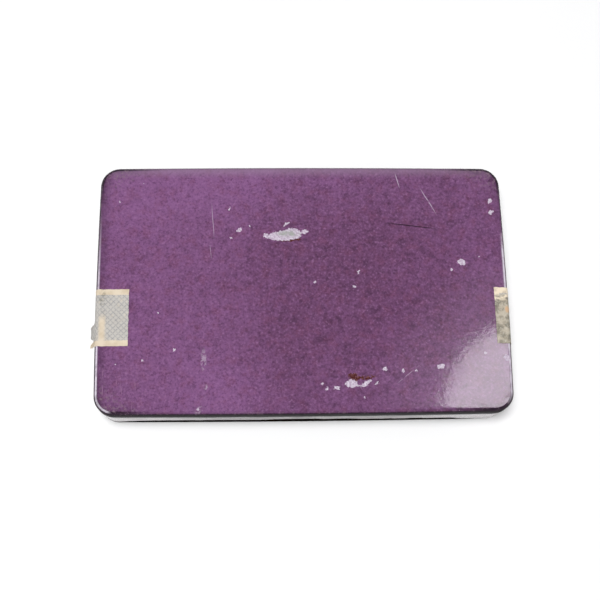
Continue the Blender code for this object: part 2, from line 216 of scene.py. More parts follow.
class Finish:
    """A node material being wired up. color is its colour so far, and most methods return a socket."""

    def __init__(self, name):
        self.material = bpy.data.materials.new(name)
        self.material.use_nodes = True
        self.tree = self.material.node_tree
        self.shader = self.tree.nodes["Principled BSDF"]
        coordinates = self.tree.nodes.new("ShaderNodeTexCoord").outputs["Object"]
        self.mm = self.vector("SCALE", coordinates, Scale=1 / MM)
        self.color = None

    def feed(self, socket, value):
        if isinstance(value, bpy.types.NodeSocket):
            self.tree.links.new(value, socket)
        else:
            socket.default_value = value

    def put(self, kind, inputs=None, **settings):
        """A new node with its settings made and its inputs fed, which are given by name or number."""
        made = self.tree.nodes.new(kind)
        for name, value in settings.items():
            setattr(made, name, value)
        for key, value in (inputs or {}).items():
            self.feed(made.inputs[key], value)
        return made

    def vector(self, operation, a, b=(0, 0, 0), **named):
        made = self.put("ShaderNodeVectorMath", {0: a, 1: b, **named}, operation=operation)
        return made.outputs["Value" if operation == "LENGTH" else "Vector"]

    def math(self, operation, a, b=0, clamp=False):
        return self.put("ShaderNodeMath", {0: a, 1: b}, operation=operation, use_clamp=clamp).outputs[0]

    def chain(self, operation, values, clamp=False):
        """The values joined by one operation after another. clamp holds the last result between 0 and 1."""
        total = values[0]
        for value in values[1:-1]:
            total = self.math(operation, total, value)
        return self.math(operation, total, values[-1], clamp)

    def times(self, *values):
        return self.chain("MULTIPLY", values)

    def plus(self, *values, clamp=False):
        return self.chain("ADD", values, clamp)

    def minus(self, value, taken, clamp=False):
        return self.math("SUBTRACT", value, taken, clamp)

    def most(self, *values):
        return self.chain("MAXIMUM", values)

    def absolute(self, value):
        return self.math("ABSOLUTE", value)

    def noise(self, size_mm, detail=2, rough=0.5, stretch=None, at=None, seed=0):
        """Noise with lumps of about size_mm. stretch makes them longer along an axis."""
        place = at or self.mm
        if stretch:
            place = self.vector("DIVIDE", place, stretch)
        place = self.vector("ADD", place, (seed, seed * 1.7, 0))
        inputs = {"Vector": place, "Scale": 1 / size_mm, "Detail": detail, "Roughness": rough}
        return self.put("ShaderNodeTexNoise", inputs).outputs["Fac"]

    def ramp(self, value, low, high, to_low=0, to_high=1):
        """Smooth step: to_low at low and below, to_high at high and above."""
        inputs = {"Value": value, "From Min": low, "From Max": high, "To Min": to_low, "To Max": to_high}
        return self.put("ShaderNodeMapRange", inputs, interpolation_type="SMOOTHSTEP").outputs["Result"]

    def mix(self, share, a, b, mode="MIX"):
        inputs = {"Factor": share, 6: a, 7: b}
        return self.put("ShaderNodeMix", inputs, data_type="RGBA", blend_type=mode).outputs[2]

    def cover(self, share, tint, strength=None):
        """Lays a tint over a share of the colour, at full strength or less."""
        if strength is not None:
            share = self.times(share, strength)
        self.color = self.mix(share, self.color, tint)

    def axis(self, name):
        return self.put("ShaderNodeSeparateXYZ", {0: self.mm}).outputs[name]

    def warped(self, warp_mm, warp_size):
        """The place on the lid's plan, pushed about by up to warp_mm in lumps of warp_size."""
        inputs = {"Vector": self.mm, "Scale": 1 / warp_size, "Detail": 3}
        wobble = self.put("ShaderNodeTexNoise", inputs).outputs["Color"]
        offset = self.vector("SCALE", self.vector("SUBTRACT", wobble, (0.5, 0.5, 0.5)), Scale=warp_mm)
        return self.vector("MULTIPLY", self.vector("ADD", self.mm, offset), (1, 1, 0))

    def nearest(self, marks, warp_mm, warp_size):
        """How far a point is from the nearest mark's middle, where 1 is the mark's edge.

        A mark is (x, y, length, width, angle).
        """
        flat = self.warped(warp_mm, warp_size)
        nearest = None
        for x, y, length, width, angle in marks:
            inputs = {"Vector": flat, "Location": (x, y, 0), "Scale": (length / 2, width / 2, 1)}
            inputs["Rotation"] = (0, 0, math.radians(angle))
            place = self.put("ShaderNodeMapping", inputs, vector_type="TEXTURE")
            far = self.vector("LENGTH", place.outputs["Vector"])
            nearest = far if nearest is None else self.math("MINIMUM", nearest, far)
        return nearest

    def bump(self, height, distance_mm, normal=None):
        inputs = {"Height": height, "Distance": distance_mm * MM, "Strength": 1}
        if normal is not None:
            inputs["Normal"] = normal
        return self.put("ShaderNodeBump", inputs).outputs["Normal"]

    def done(self, roughness, normal, **named):
        named |= {"Base_Color": self.color, "Roughness": roughness, "Normal": normal}
        for name, value in named.items():
            self.feed(self.shader.inputs[name.replace("_", " ")], value)
        return self.material


# ---------- The enamelled lid ----------

# The lid's main marks, in millimetres from its middle: x, y, length, width, and an angle in degrees.
BIG_CHIP = [
    (-9, 26, 17, 5, 2),    # the flaked patch, one long lens
    (-5, 27, 9, 6, 0),     # thicker to the right
    (-18, 26, 2, 3, 20),   # a knob at its left end
    (1, 28, 4, 2, 10),     # and bits off its right end
    (-8, 32, 4, 1, 40),    # a sliver behind it
]
BIG_CHIP_BARE = [
    (-7, 27, 13, 4, 0),    # the grey-green middle of the patch
]
LOWER_CHIP = [
    (22, -48, 6, 4, 0),    # the white under the rusty patch
    (25, -49, 5, 1, 0),    # a thin neck
    (29, -48, 6, 2, 35),   # and the slanted end
    (15, -50, 2, 3, 70),   # bits off its left end
    (34, -48, 3, 1, 45),   # and off its right
]
RUST_AND_LIP_SHADOW = [
    (23, -45, 6, 4, -20),  # the rusty patch's thick left end
    (29, -45, 9, 2, 3),    # and its thin right end
    # Painted shadow under the flaked patch's lower lip, laid in the rust colours.
    (-7, 24, 12, 2, 2),    # the shaded lower lip of the flaked patch
]
LONE_CHIPS = [
    (78, 12, 4, 3, -10),   # a round chip at the right
    (94, 44, 3, 2, 60),    # three worn places along the right-hand edge
    (94, 38, 3, 2, 30),
    (97, -36, 3, 3, 20),
    (65, -40, 4, 2, 10),   # a flat nick by the front right
    (38, -41, 2, 2, 30),   # three specks between it and the lower chip
    (47, -42, 1, 2, 0),
    (53, -42, 1, 1, 0),
    (27, 7, 1, 2, -10),    # two specks right of the middle
    (25, 0, 2, 1, 0),
    (-36, 40, 1, 2, -20),  # four specks left of the big chip
    (-31, 29, 3, 2, 35),
    (-35, 25, 1, 1, 0),
    (-26, 31, 1, 1, 0),
    (-62, -31, 2, 1, 40),  # two specks at the front left
    (-77, -36, 1, 1, 0),
]
SMEAR = [
    (-48, -36, 3, 11, 0),  # a pale rub down the left half
    (-47, -49, 2, 3, 0),   # a spot further down
    (-50, -60, 5, 3, 40),  # and its end by the front edge
]
SCRATCHES = [
    (-44, 34, 22, 0.4, 94),    # the long pale scratch at the back left, and its lower end
    (-45, 18, 9, 0.3, 96),
    (48, 55, 10, 0.7, 104),    # two slanted ones at the back right
    (63, 44, 19, 0.7, 118),
    (49, -44, 18, 0.3, 38),    # one at the front right
]
DARK_SCRATCHES = [
    (54, 31, 31, 0.8, -7),     # the long dark scratch right of the big chip
]

# Where small flecks gather, as the marks are given.
FLECKED = [
    (12, -50, 16, 6, 0),   # along the front, left of the lower chip
    (-50, -58, 12, 6, 0),  # by the front left
]

PURPLE = rgb(89, 56, 86)
PURPLE_PALE = rgb(113, 75, 115)
PURPLE_DEEP = rgb(66, 41, 64)
PURPLE_WARM = rgb(100, 58, 84)
PURPLE_SPECK = rgb(134, 96, 134)
SHADE_AND_SCRATCH_DARK = rgb(18, 12, 18)
BACK_PAINTED_SHEEN = rgb(140, 118, 140)
GROUND_COAT = rgb(186, 178, 190)
GROUND_DULL = rgb(150, 132, 152)
GROUND_GREEN = rgb(126, 132, 122)
RUST_BROWN = rgb(58, 18, 14)
RUST_PINK = rgb(124, 80, 84)
RUB_PINK = rgb(148, 114, 140)
WORN_GREY = rgb(112, 92, 104)
STIPPLE = rgb(206, 200, 206)


def purple_coat_with_painted_light(made):
    """The coat's colour: broad pale and dark areas, blotches and a fine stipple, which is returned. Its paler left
    side and back left are painted light.
    """
    x, y = made.axis("X"), made.axis("Y")
    # Painted light: the coat is paler to the left and towards the back left, where the lid is lit more and mirrors
    # brighter surroundings.
    left = made.minus(made.ramp(x, -40, 0, 0.50, 0), made.ramp(x, -60, -95, 0, 0.13))
    oval = made.vector("LENGTH", made.vector("MULTIPLY", made.mm, (0.62, 1, 0)))
    rim = made.ramp(oval, 28, 66, 0, 0.34)
    back = made.times(made.ramp(y, 25, 55, 0, 0.28), made.ramp(x, 60, 20))
    pale = made.plus(left, rim, back, clamp=True)
    broad = made.ramp(made.noise(26, 2, seed=3.1), 0.3, 0.7, -0.12, 0.12)
    mottle = made.ramp(made.noise(2.4, 3, 0.65, seed=5.3), 0.34, 0.66, -0.14, 0.34)
    middle = made.minus(1, made.times(pale, 0.7))
    uneven = made.plus(broad, made.times(mottle, middle))
    made.color = made.mix(made.plus(pale, uneven, clamp=True), PURPLE, PURPLE_PALE)
    blotch = made.ramp(made.noise(4.5, 5, 0.68, seed=8.7), 0.46, 0.72, 0, 0.75)
    made.cover(made.times(blotch, middle), PURPLE_DEEP)
    warm = made.ramp(made.noise(5, 5, 0.68, seed=14.2), 0.46, 0.68, 0, 0.45)
    made.cover(warm, PURPLE_WARM)
    fine = made.noise(1.2, 3, 0.72, seed=21)
    made.color = made.mix(made.ramp(fine, 0.48, 0.72), made.color, STIPPLE, "MULTIPLY")
    made.cover(made.ramp(fine, 0.47, 0.28, 0, 0.55), PURPLE_SPECK)
    return fine


def fleck_mask(made):
    """Small round chips: many where the flecks gather, and a rare one anywhere else."""
    zone = made.ramp(made.nearest(FLECKED, 4, 8), 1.15, 0.7)
    inputs = {"Vector": made.warped(1.4, 0.9), "Scale": 1 / 2.8}
    cells = made.put("ShaderNodeTexVoronoi", inputs, voronoi_dimensions="2D")
    lot = made.put("ShaderNodeSeparateColor", {0: cells.outputs["Color"]})
    often = made.ramp(zone, 0, 1, 0.997, 0.66)
    chosen = made.math("GREATER_THAN", lot.outputs[0], often)
    size = made.ramp(lot.outputs[1], 0, 1, 0.05, 0.24)
    inside = made.math("LESS_THAN", cells.outputs["Distance"], size)
    return made.times(chosen, inside)


def painted_rim_highlight(made, depth):
    """A painted highlight: a pale line on the round shoulder along both ends of the lid, where it mirrors the side
    lights.
    """
    x, y = made.axis("X"), made.axis("Y")
    start = made.ramp(x, 0, 1, 0, 0.012)
    line = made.times(made.ramp(made.plus(depth, start), 0, 0.08), made.ramp(depth, 0.55, 0.32))
    at_side = made.ramp(made.absolute(x), 90.5, 93.5)
    left = made.times(made.ramp(x, 0, -1), made.ramp(y, 45, -15))
    right = made.times(made.ramp(x, 94, 96.5), made.ramp(y, 31, 16), made.ramp(y, -60, -50))
    uneven = made.ramp(made.noise(4, 3, 0.6, seed=37), 0.35, 0.55, 0.55, 1)
    return made.times(line, at_side, made.plus(left, right), uneven)


def edge_wear_and_painted_light(made, depth, at_corner):
    """Paints a reflection along the back and shade on the left edge, the top edge and the shoulder, adds wear
    spots and a painted highlight line on the shoulder, and returns the wear with that highlight counted in.
    """
    # Painted reflection: a pale sheen along the back edge.
    made.cover(made.ramp(made.axis("Y"), 55.5, 62, 0, 0.5), BACK_PAINTED_SHEEN)
    # Painted shade: darker just inside the left edge.
    made.cover(made.ramp(made.axis("X"), -93, -97.5, 0, 0.28), SHADE_AND_SCRATCH_DARK)
    # Painted shade: the top edge darkened, most at the corners, and the shoulder and skirt darkened to near black
    # as they turn down and mirror dark surroundings.
    brim_shade = made.times(made.ramp(depth, -0.05, 0.06), made.plus(0.15, made.times(at_corner, 0.75)))
    made.cover(made.most(brim_shade, made.ramp(depth, 0, 0.95)), SHADE_AND_SCRATCH_DARK)
    spots = made.ramp(made.noise(1.6, 4, 0.65, seed=31), 0.52, 0.62)
    crest = made.times(made.ramp(depth, 0, 0.25), made.ramp(depth, 1.5, 0.5, 0, 0.35))
    corner = made.times(at_corner, made.ramp(depth, 0.3, 0, 0, 0.6))
    worn = made.times(spots, made.most(crest, corner))
    made.cover(worn, WORN_GREY)
    # Painted highlight on the shoulder, laid in the pale ground colour.
    rubbed = painted_rim_highlight(made, depth)
    made.cover(rubbed, GROUND_COAT)
    return made.most(worn, rubbed)


def scratch(made):
    """Adds the scratches, the pale rubs, and wisps of wear at the front left."""
    pale = made.ramp(made.nearest(SCRATCHES, 0.5, 9), 1, 0.5)
    pale = made.times(pale, made.ramp(made.noise(2.4, 2, seed=50), 0.30, 0.45))
    dark = made.ramp(made.nearest(DARK_SCRATCHES, 0.6, 9), 1, 0.5)
    rub = made.ramp(made.nearest(SMEAR, 1.4, 1.2), 1.2, 0.5)
    rub = made.times(rub, made.ramp(made.noise(1.7, 3, 0.6, seed=41), 0.42, 0.58))
    wisps = made.noise(0.5, 2, 0.5, stretch=(1, 16, 1), seed=44)
    low_left = made.times(made.ramp(made.axis("X"), -60, -92), made.ramp(made.axis("Y"), -30, -50))
    made.cover(made.times(made.ramp(wisps, 0.60, 0.70, 0, 0.45), low_left), RUB_PINK)
    made.cover(pale, GROUND_DULL, 0.9)
    made.cover(dark, SHADE_AND_SCRATCH_DARK, 0.8)
    made.cover(rub, GROUND_DULL, 0.7)


def bare_ground(made, chip, rust):
    """Adds the rust and the painted shadow under the big chip's lower lip, and bares the pale ground in the chips,
    greenish within the big one.
    """
    rust_color = made.mix(made.ramp(made.noise(0.9, 3, 0.7, seed=60), 0.45, 0.75), RUST_BROWN, RUST_PINK)
    made.cover(rust, rust_color)
    ground = made.mix(made.ramp(made.noise(0.9, 4, 0.7, seed=70), 0.36, 0.62), GROUND_COAT, GROUND_DULL)
    green = made.ramp(made.nearest(BIG_CHIP_BARE, 1, 1), 1.3, 0.3)
    green = made.times(green, made.ramp(made.noise(1.8, 3, 0.6, seed=74), 0.36, 0.62, 0.15, 0.8))
    made.cover(chip, made.mix(green, ground, GROUND_GREEN))


def enamel_finish():
    """The whole lid's enamel. Of its marks, only the two flaked patches are in its relief."""
    made = Finish("lid_enamel_worn")
    inside = made.nearest(BIG_CHIP + LOWER_CHIP + LONE_CHIPS, 2.6, 1.1)
    chip = made.most(made.ramp(inside, 1.06, 0.90), fleck_mask(made))
    # Rust patches, and the painted shadow under the big chip's lip.
    rust = made.ramp(made.nearest(RUST_AND_LIP_SHADOW, 2.6, 1.1), 1.10, 0.90)
    rust = made.times(rust, made.ramp(made.noise(1.5, 3, 0.6, seed=57), 0.36, 0.46))
    fine = purple_coat_with_painted_light(made)
    depth = made.minus(LID_TOP / MM, made.axis("Z"))
    oval = made.vector("LENGTH", made.vector("MULTIPLY", made.mm, (0.01, 0.016, 0)))
    at_corner = made.ramp(oval, 1.16, 1.32)
    # worn holds the shoulder's wear spots and its painted highlight line; both roughen the coat.
    worn = edge_wear_and_painted_light(made, depth, at_corner)
    scratch(made)
    bare_ground(made, chip, rust)

    gloss = made.ramp(made.noise(14, 4, 0.6, seed=80), 0.35, 0.75, 0.04, 0.08)
    dull_wall = made.ramp(depth, 0.5, 1.4, 0, 0.7)
    dull_corner = made.times(at_corner, made.ramp(depth, 0, 0.2, 0, 0.5))
    bare = made.times(made.most(chip, rust), 0.7)
    roughness = made.most(gloss, dull_wall, dull_corner, bare, made.times(worn, 0.5))
    peel = made.times(made.noise(1.9, 3, 0.55, seed=90), 0.014)
    relief = made.plus(peel, made.times(fine, 0.006))
    recess = made.ramp(made.nearest(BIG_CHIP + LOWER_CHIP, 2.6, 1.1), 1.06, 0.90)
    relief = made.minus(relief, made.times(recess, 0.06))
    return made.done(roughness, made.bump(relief, 1), Specular_IOR_Level=0.2)


def lid_rise(inset):
    """The slight crown of the lid's top, at a distance in from its side."""
    share = min(inset / (LID_Y * 0.8), 1)
    return 0.12 * MM * (1 - (1 - share) ** 2)


TOP_INSETS = [inset * MM for inset in (52, 44, 34, 24, 16, 10, 6, 3.5)]


def make_lid(enamel, back):
    """One pressed shell: crowned top, round shoulder, skirt with a turned edge, and the inside face."""
    profile = [(inset, LID_TOP + lid_rise(inset)) for inset in TOP_INSETS]
    profile += [(SHOULDER - x, z) for x, z in arc((0, LID_TOP - SHOULDER), SHOULDER, 90, 0, 9)]
    profile += [(0, SEAM + 1.2 * MM)]
    profile += [(SHEET / 2 - x, z) for x, z in arc((0, SEAM + SHEET / 2), SHEET / 2, 0, -180, 6)]
    inner = SHOULDER - SHEET
    profile += [(SHOULDER - x, z) for x, z in arc((0, LID_TOP - SHOULDER), inner, 0, 90, 6)]
    profile += [(inset, LID_TOP - SHEET + lid_rise(inset)) for inset in reversed(TOP_INSETS)]
    lid = pressed("enamelled_lid", LID_X, LID_Y, CORNER, BOW, profile)
    settle(lid, "lid", "lid_enamel", enamel, "lid")
    wall = LID_Y + SHEET / 2
    leaf = [(wall, SEAM + rise * MM) for rise in (3.5, 2, 0)]
    leaf += arc((HINGE.y, HINGE.z), KNUCKLE_RADIUS, 160, 480, 20)
    make_knuckles("lid", 1, leaf, "lid_enamel", back)


def make_knuckles(body, first, leaf, slot_name, finish):
    """Every other knuckle of the hinge, from the first on. leaf is its sheet's path, of (y, z)."""
    middle = (KNUCKLES - 1) / 2
    for number, place in enumerate(range(first, KNUCKLES, 2), start=1):
        x = (place - middle) * KNUCKLE_PITCH
        half = KNUCKLE_LENGTH / 2
        knuckle = ribbon(f"{body}_knuckle_{number}", leaf, KNUCKLE_SHEET, x - half, x + half)
        settle(knuckle, body, slot_name, finish)


# ---------- The tinplate tray and the hinge ----------

TIN_BRIGHT = rgb(212, 208, 210)
TIN_CLOUDED = rgb(190, 184, 186)
TIN_MIDDLE_SHADE = rgb(126, 119, 122)
TIN_SHADED = rgb(40, 36, 40)
TIN_RUST = rgb(112, 74, 50)
FOOT_DARK = rgb(16, 12, 8)
WIRE = rgb(150, 146, 142)
WIRE_RUST = rgb(96, 66, 48)


def tinplate_finish():
    """Tinplate: painted shade towards its middle, a painted shadow under the lid, and darker along its foot, most
    in front.
    """
    made = Finish("tinplate_aged")
    cloud = made.noise(9, 4, 0.6, seed=2)
    x, height = made.axis("X"), made.axis("Z")
    wander = made.ramp(made.noise(7, 3, 0.6, stretch=(2, 2, 0.5), seed=5), 0.3, 0.7, -0.7, 0.7)
    band = made.times(made.ramp(x, 96, 62, 0, 6.8), made.ramp(x, -100, -65, 0.4, 1))
    middle = made.ramp(made.absolute(x), 38, 4, 0, 1.6)
    front = made.ramp(made.axis("Y"), 0, -50, 0.35, 1)
    line = made.plus(made.times(made.plus(band, middle), front), wander)
    # A darker band along the foot, higher in front and towards the middle.
    dark_foot = made.times(made.ramp(made.minus(line, height), -0.6, 0.5), made.ramp(height, 0.02, 0.5))
    specks = made.ramp(made.noise(1.3, 4, 0.7, seed=9), 0.63, 0.72)
    dark_foot_and_specks = made.most(dark_foot, specks)

    made.color = made.mix(made.ramp(cloud, 0.35, 0.7), TIN_BRIGHT, TIN_CLOUDED)
    # Painted shade: the walls darker towards their middle, where the floor they mirror lies in shade.
    made.cover(made.ramp(made.absolute(x), 92, 25, 0, 0.85), TIN_MIDDLE_SHADE)
    wavy = made.plus(height, made.times(wander, 0.5))
    made.cover(made.ramp(wavy, SEAM / MM - 8.5, SEAM / MM - 3.5), TIN_SHADED)
    made.cover(dark_foot, FOOT_DARK)
    made.cover(specks, TIN_RUST, 0.7)
    scuffs = made.noise(0.6, 2, 0.5, stretch=(22, 3, 1), seed=12)
    roughness = made.plus(made.ramp(cloud, 0.3, 0.7, 0.20, 0.34), made.ramp(scuffs, 0.55, 0.7, 0, 0.2))
    roughness = made.most(roughness, made.times(dark_foot_and_specks, 0.65))
    metal = made.minus(1, dark_foot_and_specks, clamp=True)
    normal = made.bump(scuffs, 0.006, normal=made.bump(cloud, 0.03))
    return made.done(roughness, normal, Metallic=metal, Specular_IOR_Level=0)


def wire_finish():
    made = Finish("hinge_wire_aged")
    rust = made.ramp(made.noise(1.8, 4, 0.7, seed=4), 0.48, 0.62)
    made.color = made.mix(rust, WIRE, WIRE_RUST)
    roughness = made.ramp(rust, 0, 1, 0.3, 0.7)
    return made.done(roughness, made.bump(rust, 0.02), Metallic=made.minus(1, rust))


def make_tray(tinplate, wire):
    insets = [inset * MM for inset in (50, 30, 15, 6)]
    profile = [(inset, 0) for inset in insets]
    profile += [(TRAY_EDGE - x, z) for x, z in arc((0, TRAY_EDGE), TRAY_EDGE, -90, 0, 7)]
    profile += [(0, SEAM)]
    profile += [(SHEET / 2 - x, z) for x, z in arc((0, TRAY_TOP - SHEET / 2), SHEET / 2, 0, 180, 6)]
    profile += [(TRAY_EDGE - x, z) for x, z in arc((0, TRAY_EDGE), TRAY_EDGE - SHEET, 0, -90, 5)]
    profile += [(inset, SHEET) for inset in reversed(insets)]
    tray = pressed("tinplate_tray", TRAY_X, TRAY_Y, CORNER - SHEET - GAP, BOW, profile)
    settle(tray, "tray", "tinplate", tinplate, "base_tray")
    wall = TRAY_Y + SHEET / 2
    leaf = [(wall, HINGE.z - drop * MM) for drop in (5, 3, 1)]
    leaf += arc((HINGE.y, HINGE.z), KNUCKLE_RADIUS, 200, -120, 20)
    make_knuckles("tray", 0, leaf, "tinplate", tinplate)
    wire_slots = frame["nodes"]["hinge_wire"].data.materials
    wire_slots.clear()
    wire_slots.append(wire)


# ---------- The white enamelled palette and carrier ----------

WELLS = 4
WELL_PITCH = 47.5 * MM
WELL_X = 21.5 * MM
WELL_Y = 52 * MM
WELL_CORNER = 8 * MM

ENAMEL_WHITE = rgb(214, 212, 206)
ENAMEL_CREAM = rgb(204, 200, 190)
ENAMEL_SCUFF = rgb(120, 112, 104)
WASH = rgb(120, 150, 200)


def white_enamel_finish(name, stains):
    """White enamel with grey scuffs; stains leaves dried washes of colour on it."""
    made = Finish(name)
    made.color = made.mix(made.ramp(made.noise(18, 3, seed=6), 0.35, 0.7), ENAMEL_WHITE, ENAMEL_CREAM)
    if stains:
        wash = made.noise(30, at=made.vector("ADD", made.mm, (7, 3, 0)))
        hue = made.put("ShaderNodeHueSaturation", {"Hue": made.ramp(wash, 0.3, 0.7), "Color": WASH})
        pooled = made.noise(24, 4, 0.55, seed=26)
        ring = made.ramp(made.absolute(made.minus(pooled, 0.56)), 0.02, 0, 0, 0.35)
        pool = made.ramp(pooled, 0.56, 0.68, 0, 0.45)
        made.cover(made.most(ring, pool), hue.outputs["Color"])
    scuffs = made.ramp(made.noise(1.6, 4, 0.7, seed=16), 0.66, 0.76)
    made.cover(scuffs, ENAMEL_SCUFF, 0.5)
    roughness = made.ramp(made.noise(7, 3, seed=36), 0.3, 0.7, 0.14, 0.28)
    return made.done(roughness, made.bump(made.noise(3, 2, seed=46), 0.012))


def make_palette(finish):
    """One sheet: a flat flange, from which four wells with round lips and round feet rise into the lid."""
    low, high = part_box("mixing_palette")
    plane = low.z + SHEET / 2
    top = high.z - SHEET / 2
    lip = 1.2 * MM
    foot = 1.6 * MM
    section = arc((-lip, plane + lip), lip, -90, 0, 5) + arc((foot, top - foot), foot, 180, 90, 5)
    section += [(8 * MM, top), (14 * MM, top)]
    bm = bmesh.new()
    edge = outline(high.x, high.y, CORNER - SHEET - GAP, BOW, 0.2 * MM)
    rim = [bm.verts.new((x, y, plane)) for x, y in edge]
    edges = [bm.edges.new((a, b)) for a, b in zip(rim, rim[1:] + rim[:1])]
    for i in range(WELLS):
        shift = (i - (WELLS - 1) / 2) * WELL_PITCH
        rings = []
        for inset, z in section:
            flat = outline(WELL_X, WELL_Y, WELL_CORNER, 0, inset, corner_steps=8, side_steps=2)
            rings.append([(x + shift, y, z) for x, y in flat])
        rows = skin(bm, rings, closed_ends=False)
        bm.faces.new(rows[-1])
        edges += [bm.edges.get((a, b)) for a, b in zip(rows[0], rows[0][1:] + rows[0][:1])]
    bmesh.ops.triangle_fill(bm, edges=edges, use_beauty=True)
    palette = new_object("palette_sheet", bm)
    thicken(palette, SHEET * 0.9)
    settle(palette, "lid", "palette_enamel", finish, "mixing_palette")


def round_path(points, radius, steps=3):
    """The path with each of its inner corners rounded."""
    rounded = [points[0]]
    for before, here, after in zip(points, points[1:], points[2:]):
        here = Vector(here)
        start = here + (Vector(before) - here).normalized() * radius
        end = here + (Vector(after) - here).normalized() * radius
        for i in range(steps + 1):
            t = i / steps
            rounded.append(tuple(start * (1 - t) ** 2 + here * 2 * t * (1 - t) + end * t**2))
    return rounded + [points[-1]]


PANS = [f"pan_{number:02d}" for number in range(1, 25)]
PANS_IN_ROW = 6


def middle_of(node):
    low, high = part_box(node)
    return (low + high) / 2


def make_carrier(finish):
    low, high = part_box("pan_carrier")
    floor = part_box(PANS[0])[0].z - GAP - SHEET / 2
    side = high.y - SHEET / 2
    rows = [middle_of(PANS[i * PANS_IN_ROW]).y for i in range(4)]
    pitch = rows[0] - rows[1]
    leg = 0.5 * MM
    low_ridge = high.z - SHEET / 2 - 2 * MM
    ridges = [((rows[0] + rows[1]) / 2, low_ridge), (rows[1] - pitch / 2, high.z - SHEET / 2)]
    half = [(side, low.z), (side, low_ridge), (side - 2 * leg, low_ridge), (side - 2 * leg, floor)]
    for y, top in ridges:
        half += [(y + leg, floor), (y + leg, top), (y - leg, top), (y - leg, floor)]
    path = round_path(half + [(-y, z) for y, z in reversed(half)], 0.3 * MM)
    carrier = ribbon("carrier_sheet", path, SHEET, low.x, high.x, steps=1)
    settle(carrier, "tray", "carrier_enamel", finish, "pan_carrier")

    half_tongue = 3.5 * MM
    tongue_top = floor + 6.1 * MM
    round_off = 1.2 * MM
    bm = bmesh.new()
    for y in rows:
        for near, far in zip(PANS, PANS[1:PANS_IN_ROW]):
            x = (middle_of(near).x + middle_of(far).x) / 2
            tab = [(-half_tongue, floor), (half_tongue, floor)]
            tab += arc((half_tongue - round_off, tongue_top - round_off), round_off, 0, 90, 4)
            tab += arc((round_off - half_tongue, tongue_top - round_off), round_off, 90, 180, 4)
            skin(bm, [[(x + dx, y + dy, z) for dy, z in tab] for dx in (-SHEET / 2, SHEET / 2)])
    tongues = new_object("pan_tongues", bm)
    settle(tongues, "tray", "carrier_enamel", finish)


# ---------- The pans and the paint ----------

PAN_WHITE = rgb(218, 216, 210)
PAN_STAINED = rgb(190, 180, 164)


def pan_finish():
    made = Finish("pan_plastic_used")
    stain = made.ramp(made.noise(4, 4, 0.6, seed=3), 0.55, 0.8, 0, 0.35)
    made.color = made.mix(stain, PAN_WHITE, PAN_STAINED)
    roughness = made.ramp(made.noise(2, 3, seed=13), 0.3, 0.7, 0.25, 0.42)
    normal = made.bump(made.noise(1.2, 2, seed=23), 0.01)
    return made.done(roughness, normal, Subsurface_Weight=0.1, Subsurface_Scale=0.0005)


def make_pans(finish):
    """One moulded shape for all the pans: sloping sides, a round lip and round corners."""
    low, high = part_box(PANS[0])
    half = (high - low) / 2
    tall = (high.z - low.z) / MM
    wall = 0.8
    taper = 0.7
    section = [(4, 0), (taper + 0.6, 0), (taper + 0.17, 0.17), (taper, 0.6), (0.05, tall - 0.5)]
    section += [(0, tall - 0.3), (0.1, tall - 0.08), (0.35, tall), (0.6, tall - 0.08), (wall, tall - 0.4)]
    section += [(taper + wall, 1.6), (taper + wall + 0.3, wall), (4.5, wall)]
    profile = [(inset * MM, z * MM) for inset, z in section]
    shape = pressed("pan_shape", half.x, half.y, 1.9 * MM, 0, profile, corner_steps=6, side_steps=2)
    for number, node in enumerate(PANS, start=1):
        pan = shape if number == 1 else add("pan", shape.data)
        pan.name = f"moulded_pan_{number:02d}"
        centre = middle_of(node)
        pan.location = (centre.x, centre.y, low.z)
        settle(pan, "tray", "pan_plastic", finish, node)


def paint_finish(name, base_color, seed):
    """Dried paint: its colour pooled darker in places, hair cracks, and a faint bloom in patches."""
    made = Finish(f"{name}_dried")
    own = base_color[:3]
    deep = (*[share * 0.55 for share in own], 1)
    bloom = (*[0.8 * share + 0.1 for share in own], 1)
    made.color = made.mix(made.ramp(made.noise(3.5, 4, 0.6, seed=seed), 0.35, 0.7), (*own, 1), deep)
    bloomed = made.ramp(made.noise(1.1, 4, 0.7, seed=seed + 5), 0.55, 0.75, 0, 0.35)
    made.cover(bloomed, bloom)
    inputs = {"Vector": made.vector("ADD", made.mm, (seed, seed, seed)), "Scale": 0.22}
    cells = made.put("ShaderNodeTexVoronoi", inputs, feature="DISTANCE_TO_EDGE")
    crack = made.ramp(cells.outputs["Distance"], 0.02, 0)
    crack = made.times(crack, made.ramp(made.noise(5, 2, seed=seed + 9), 0.5, 0.6))
    made.cover(crack, deep, 0.7)
    roughness = made.ramp(made.noise(2.5, 3, seed=seed + 2), 0.3, 0.7, 0.28, 0.6)
    grain = made.bump(made.noise(0.9, 4, 0.6, seed=seed), 0.05)
    return made.done(roughness, made.bump(made.minus(1, crack), 0.12, normal=grain))


